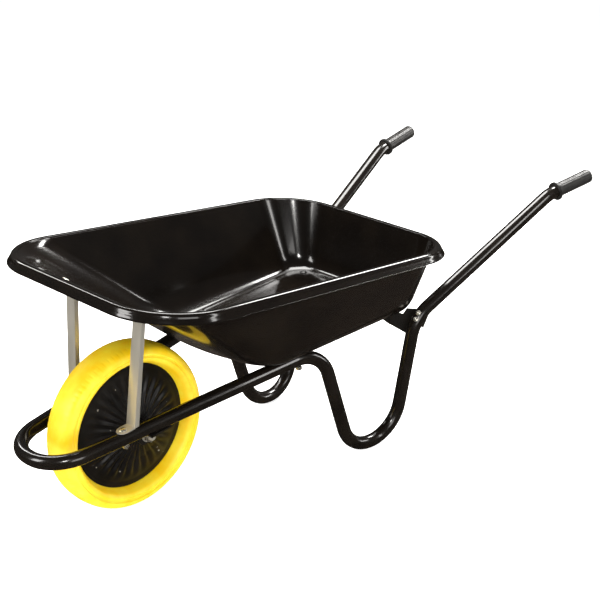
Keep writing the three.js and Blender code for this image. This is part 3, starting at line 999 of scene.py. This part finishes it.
@dataclass
class Wheel:
    """The foam tyre, its two fluted discs, the hub tube and the bearings.

    A profile point is (radius, distance from the wheel's middle plane).
    """

    half_tyre: tuple = (
        (185, 0), (184.4, 12), (182.6, 23), (179.6, 31.5), (174.5, 37.2), (168.5, 39.9),
        (164.8, 40.4), (164.2, 37.2), (159.6, 36.6), (157.6, 38.9), (154, 37.9), (149, 34.8),
        (145, 28), (141.5, 20),
    )
    bead: float = 139.3
    bead_out: float = 15.3
    seat: float = 129.3
    seat_out: float = 12.2
    lugs: int = 92
    lug_depth: float = 0.75
    lug_out: float = 29
    lug_width: float = 7
    lugs_over: float = 168
    steps: int = 552
    nub_at: tuple = (153.2, 37.6)
    nub: tuple = ((0.9, -0.4), (0.8, 0.35), (0.45, 0.7), (0.05, 0.8))
    nub_degrees: tuple = (3, 360, 12)
    disc_outside: tuple = (
        (129, 0.3), (129, 12.4), (139, 12.6), (139, 15), (127.5, 15), (118, 17), (80, 24),
        (36, 38), (25, 40),
    )
    disc_inside: tuple = (
        (22.4, 40), (22.4, 37.5), (36, 35.4), (80, 21.5), (118, 14.4), (126.4, 12.6), (126.4, 0.3),
    )
    disc_steps: int = 300
    disc_ring_gap: float = 4.0
    flutes: int = 30
    flute_height: float = 1.8
    flute_middle: float = 73
    flute_fade: float = 25.5
    flutes_within: float = 121
    hub: tuple = ((22, 0), (22, 48), (17.9, 48), (17.9, -48), (22, -48), (22, 0))
    bearing: tuple = (
        (7.8, 37), (17.6, 37), (17.6, 47.6), (15.6, 48), (14.6, 47.2), (11, 47.2), (10, 48),
        (7.8, 48),
    )

    def tyre(self) -> bpy.types.Object:
        """The tyre: a crowned tread, shoulders notched by shallow lugs and a grooved sidewall.

        Near the shoulder the notches take depth (0.5 + 0.5 cos(lugs a))^6 off the radius,
        times exp(-((distance - lug_out) / lug_width)^2), so that the tread's edge is slightly
        toothed.
        """
        outer = rounded(self.half_tyre, 2)
        bead = [(self.bead, self.bead_out), (self.bead, self.seat_out), (self.seat, self.seat_out)]
        right = np.concatenate([outer[:-1], bevelled([outer[-1], *bead])])
        profile = np.concatenate([right, (right * [1, -1])[::-1][:-1]])
        notch = self.lug_depth * (0.5 + 0.5 * np.cos(self.lugs * turn(self.steps))) ** 6
        near = (np.abs(profile[:, 1]) - self.lug_out) / self.lug_width
        where = np.exp(-(near**2)) * (profile[:, 0] > self.lugs_over)
        shell = Shell()
        shell.grid(Axis.wheel().carve(profile, where[:, None] * notch), closed_u=True)
        self.nubs(shell)
        return place(shell.build("foam_tyre", 45), Body.WHEEL, FOAM, "tyre")

    def nubs(self, shell: Shell) -> None:
        """Adds the small vent marks round both sidewalls, each a low dome 1.8 across."""
        radius, out = self.nub_at
        for side in SIDES.values():
            for angle in np.radians(np.arange(*self.nub_degrees)):
                height = AXLE_HEIGHT + radius * math.cos(angle)
                spot = [side * out, radius * math.sin(angle), height]
                shell.lump(Axis.towards(spot, [side, 0, 0]).revolve(np.array(self.nub), 8))

    def disc(self, name: str) -> bpy.types.Object:
        """One disc: a dished cone whose pressed flutes swing it in and out.

        The swing is height sin(flutes a) |sin(flutes a)|^-0.3, times a fade that is 1 over
        the middle of the cone and 0 at the hub and at the rim.

        Args:
            name: The side.
        Returns:
            The disc.
        """
        side = SIDES[name]
        line = bevelled([*self.disc_outside, *self.disc_inside], 1.4)
        gone = np.concatenate([[0], np.cumsum(np.linalg.norm(np.diff(line, axis=0), axis=1))])
        stops = np.unique(np.concatenate([gone, np.arange(0, gone[-1], self.disc_ring_gap)]))
        line = np.stack([np.interp(stops, gone, line[:, k]) for k in (0, 1)], 1)
        rings = Axis.wheel(side).revolve(line, self.disc_steps)
        wave = np.sin(self.flutes * turn(self.disc_steps))
        swing = np.sign(wave) * np.abs(wave) ** 0.7 * self.flute_height
        off = np.abs(line[:, 0] - self.flute_middle) / self.flute_fade
        fade = np.clip(1.9 - off, 0, 1) * (line[:, 0] < self.flutes_within)
        rings[..., 0] += side * fade[:, None] * swing
        shell = Shell()
        shell.grid(rings, closed_u=True)
        piece = shell.build(f"fluted_disc_{name}", 60)
        return place(piece, Body.WHEEL, WHEEL_PAINT, f"wheel_disc_{name}")

    def make(self) -> None:
        """Every piece that turns with the wheel."""
        self.tyre()
        hub = Shell()
        hub.grid(Axis.wheel().revolve(bevelled(self.hub)), True)
        place(hub.build("hub_tube_piece"), Body.WHEEL, BRACKET_SATIN, "hub_tube")
        for name, side in SIDES.items():
            self.disc(name)
            shell = Shell()
            shell.grid(Axis.wheel(side).revolve(np.array(self.bearing, float)), True)
            place(shell.build(f"wheel_bearing_{name}"), Body.WHEEL, STEEL, f"bearing_{name}")


# ---------------------------------------------------------------- axle, brackets and fasteners


@dataclass
class AxleSet:
    """The axle and what is threaded on it outside the wheel."""

    radius: float = 7.5
    half_length: float = 93
    end_cut: float = 1.2
    thread_from: float = 76
    thread_half: float = 0.35
    pitch: float = 2.0
    bore: float = 7.8
    spacer: tuple = (12, 48.3, 69.7)
    washer: tuple = (15, 74.3, 76.3)

    def make(self) -> None:
        """The axle with cut threads at its ends, and the spacers and washers.

        The thread's radius is radius - half + half cos(2 pi t / pitch), so it is drawn as
        rings and doesn't climb.
        """
        t = np.arange(self.thread_from, self.half_length - self.end_cut, self.pitch / 4)
        r = self.radius - self.thread_half + self.thread_half * np.cos(2 * np.pi * t / self.pitch)
        start = np.array([(self.radius, self.thread_from - 0.5)])
        end = np.array([(self.radius - self.end_cut, self.half_length)])
        half = np.concatenate([start, np.stack([r, t], 1), end])
        shell = Shell()
        shell.lump(Axis.wheel().revolve(np.concatenate([(half * [1, -1])[::-1], half]), 32))
        place(shell.build("axle_bar"), Body.FRAME, ZINC, "axle")
        for name, side in SIDES.items():
            self.ring(f"axle_spacer_{name}", side, *self.spacer)
            self.ring(f"axle_washer_{name}", side, *self.washer)

    def ring(self, node: str, side: int, outer: float, start: float, end: float) -> None:
        """A flat-ended ring on the axle, with broken edges.

        Args:
            node: The CAD node it replaces.
            side: 1 for left and -1 for right.
            outer: Its outer radius.
            start: Where it starts along the axle.
            end: Where it ends.
        """
        middle = (start + end) / 2
        line = [
            (outer, middle), (outer, end), (self.bore, end), (self.bore, start), (outer, start),
            (outer, middle),
        ]
        shell = Shell()
        shell.grid(Axis.wheel(side).revolve(bevelled(line, 0.5)), True)
        place(shell.build(f"{node}_ring"), Body.FRAME, ZINC, node)


@dataclass
class Fasteners:
    """The domed bolts and the hexagonal nuts."""

    groups: tuple = (
        "stay_foot", "stay_top", "pan_front", "pan_rear", "cross_member_lower",
        "cross_member_upper",
    )
    dome_share: float = 0.467
    edge: float = 0.5
    dome_rings: int = 9

    def bolt(self, node: str, finish: object) -> None:
        """A carriage bolt, turned from its shank and its domed head.

        The dome's radius is head cos(a)^0.8 and its height edge + (dome - edge) sin(a), for
        a from 0 to a right angle.

        Args:
            node: The CAD node it replaces.
            finish: The finish it is painted with.
        """
        part = TurnedPart.of(node)
        dome = part.head * self.dome_share
        base = part.top - dome
        a = np.linspace(0.0, 1.0, self.dome_rings)[:, None] * np.pi / 2
        wide = part.head * np.cos(a) ** 0.8 + 0.02
        high = base + self.edge + (dome - self.edge) * np.sin(a)
        crown = np.concatenate([wide, high], 1)
        shank = [(part.shank - 0.6, part.end), (part.shank, part.end + 0.6), (part.shank, base)]
        brim = [(part.head - 0.4, base), (part.head, base + 0.3)]
        profile = np.concatenate([shank, brim, crown])
        shell = Shell()
        shell.lump(part.axis.revolve(profile, 32))
        place(shell.build(f"{node}_domed", 40), Body.FRAME, finish, node)

    def make(self) -> None:
        """Every bolt and nut. The bolts through the pan are painted like it."""
        for name in SIDES:
            for group in self.groups:
                finish = PAN_GLOSS if group.startswith("pan") else STEEL
                self.bolt(f"{group}_bolt_{name}", finish)
                nut = f"{group}_nut_{name}"
                place(folded(nut, f"{nut}_hex", 0.5), Body.FRAME, STEEL, nut)
            nut = f"axle_nut_{name}"
            place(folded(nut, f"{nut}_hex", 0.9), Body.FRAME, STEEL, nut)


@dataclass
class Brackets:
    """The folded sheet pieces: the stays, the axle lugs and the rear cross member."""

    edge_mm: float = 0.6

    def make(self) -> None:
        """Each folded piece, with rounded edges."""
        for name in SIDES:
            stay = folded(f"stay_{name}", f"channel_stay_{name}", self.edge_mm)
            place(stay, Body.FRAME, ZINC, f"stay_{name}")
            lug = folded(f"axle_lug_{name}", f"axle_plate_{name}", self.edge_mm)
            place(lug, Body.FRAME, BRACKET_SATIN, f"axle_lug_{name}")
        member = folded("rear_cross_member", "cross_member", self.edge_mm)
        place(member, Body.FRAME, BRACKET_SATIN, "rear_cross_member")


# ---------------------------------------------------------------- studio


@dataclass(frozen=True)
class Softbox:
    """A soft light: where it stands, what it faces, its size in metres and its power."""

    name: str
    at: tuple
    aim: tuple
    size: tuple
    watts: float
    shape: str = "RECTANGLE"
    colour: tuple = (1.0, 0.985, 0.96)

    def make(self) -> None:
        """Hangs the light."""
        lamp = bpy.data.lights.new(self.name, "AREA")
        lamp.shape = self.shape
        lamp.size, lamp.size_y = self.size
        lamp.energy = self.watts
        lamp.color = self.colour
        holder = bpy.data.objects.new(self.name, lamp)
        way = Vector(self.aim) - Vector(self.at)
        holder.visible_camera = False
        turned = way.to_track_quat("-Z", "Y").to_matrix().to_4x4()
        holder.matrix_world = Matrix.Translation(self.at) @ turned
        bpy.context.scene.collection.objects.link(holder)


@dataclass
class Studio:
    """The camera, the pale floor, the surroundings and the softboxes.

    Angles are in degrees and distances in metres, and the aim is taken from the axle. The
    floor and the surroundings are dimmer in reflections than to the eye, so the black gloss
    looks darker than it would in a plain white room.
    """

    azimuth: float = 45.6
    elevation: float = 20.6
    roll: float = 1.1
    distance: float = 3.2793
    aim: tuple = (0.0003, 0.5003, 0.3403)
    sensor_mm: float = 36
    lens_mm: float = 85.056
    shift: float = 0.0053333
    far_clip: float = 60
    floor_half: float = 30.0
    floor_glow: float = 0.8
    floor_tone: str = "#f4f4f3"
    floor_reflected: str = "#2e2a26"
    world_seen: float = 1.0
    world_lighting: float = 0.22
    world_reflected: float = 0.07
    boxes: tuple = (
        Softbox("overhead_box", (-0.55, 0.35, 2.3), (0.0, 0.0, 0.3), (1.4, 1.0), 78),
        Softbox("rear_overhead_box", (-0.05, 2.0, 2.4), (0.0, 0.2, 0.3), (0.6, 0.9), 70),
        Softbox("far_overhead_strip", (-1.9, -0.4, 2.2), (0.0, 0.0, 0.3), (0.3, 1.4), 26),
        Softbox("key_box", (2.3, -2.9, 2.0), (0.0, 0.0, 0.3), (0.6, 0.6), 46, "DISK"),
        Softbox("wheel_side_box", (-0.9, -3.0, 1.5), (0.0, -0.4, 0.2), (1.0, 1.2), 46),
        Softbox("handle_side_box", (3.2, 0.9, 1.8), (0.0, 0.2, 0.3), (0.4, 1.6), 22),
        Softbox("right_rear_strip", (1.7, 3.1, 1.1), (0.0, 0.0, 0.4), (0.3, 1.8), 24),
        Softbox("side_fill_box", (2.9, -1.3, 0.9), (0.0, -0.3, 0.2), (1.4, 1.2), 26),
    )

    def camera(self) -> None:
        """The camera, from its azimuth, elevation, roll and distance."""
        az, el, roll = (math.radians(v) for v in (self.azimuth, self.elevation, self.roll))
        back = Vector((math.sin(az) * math.cos(el), -math.cos(az) * math.cos(el), math.sin(el)))
        level = (-back).cross(Vector((0, 0, 1))).normalized()
        up = level.cross(-back)
        right = level * math.cos(roll) + up * math.sin(roll)
        top = up * math.cos(roll) - level * math.sin(roll)
        lens = bpy.data.cameras.new("camera")
        lens.sensor_width = self.sensor_mm
        lens.lens = self.lens_mm
        lens.shift_x = self.shift
        lens.clip_end = self.far_clip
        holder = bpy.data.objects.new("camera", lens)
        matrix = Matrix((right, top, back)).transposed().to_4x4()
        matrix.translation = Vector(self.aim) + Vector((0, AXLE_Y, 0)) + back * self.distance
        holder.matrix_world = matrix
        bpy.context.scene.collection.objects.link(holder)
        bpy.context.scene.camera = holder

    def floor(self) -> None:
        """A wide pale floor with light of its own, as a lit white sweep has.

        To a glossy ray it is dark and gives no light.
        """
        size = self.floor_half
        mesh = bpy.data.meshes.new("floor")
        corners = [(-size, -size, 0), (size, -size, 0), (size, size, 0), (-size, size, 0)]
        mesh.from_pydata(corners, [], [(0, 1, 2, 3)])
        piece = bpy.data.objects.new("floor", mesh)
        bpy.context.scene.collection.objects.link(piece)
        recipe = Recipe("pale_floor_paint")
        glossy = recipe.add("ShaderNodeLightPath").outputs["Is Glossy Ray"]
        inputs = {"Value": glossy, "To Min": self.floor_glow, "To Max": 0.0}
        glow = recipe.add("ShaderNodeMapRange", inputs)
        tone = recipe.add("ShaderNodeMix", {"Factor": glossy}, data_type="RGBA")
        recipe.fill(tone, {6: linear(self.floor_tone), 7: linear(self.floor_reflected)})
        piece.data.materials.append(recipe.finish(
            Base_Color=tone.outputs[2], Roughness=0.9, Specular_IOR_Level=0.0,
            Emission_Color=WHITE, Emission_Strength=glow.outputs["Result"],
        ))

    def surroundings(self) -> None:
        """White all round: full to the camera, dim as light, and dimmer still in reflections."""
        world = bpy.data.worlds.new("studio")
        world.use_nodes = True
        tree = world.node_tree
        path = tree.nodes.new("ShaderNodeLightPath")
        level = tree.nodes.new("ShaderNodeMapRange")
        tree.links.new(path.outputs["Is Camera Ray"], level.inputs["Value"])
        level.inputs["To Min"].default_value = self.world_lighting
        level.inputs["To Max"].default_value = self.world_seen
        seen = tree.nodes.new("ShaderNodeMix")
        tree.links.new(path.outputs["Is Glossy Ray"], seen.inputs["Factor"])
        tree.links.new(level.outputs["Result"], seen.inputs["A"])
        seen.inputs["B"].default_value = self.world_reflected
        tree.links.new(seen.outputs["Result"], tree.nodes["Background"].inputs["Strength"])
        tree.nodes["Background"].inputs["Color"].default_value = WHITE
        bpy.context.scene.world = world

    def make(self) -> None:
        """The whole studio."""
        self.camera()
        self.floor()
        self.surroundings()
        for box in self.boxes:
            box.make()
        bpy.context.scene.view_settings.view_transform = "Standard"


def main() -> None:
    """Builds the studio and the barrow."""
    Studio().make()
    steps: list[Callable[[], object]] = [
        Pan().make, FrameTube().make, Wheel().make, AxleSet().make, Brackets().make,
        Fasteners().make,
    ]
    for step in steps:
        step()
    for name in SIDES:
        Grips().make(name)
    bpy.context.view_layer.update()


if __name__ == "__main__":
    main()
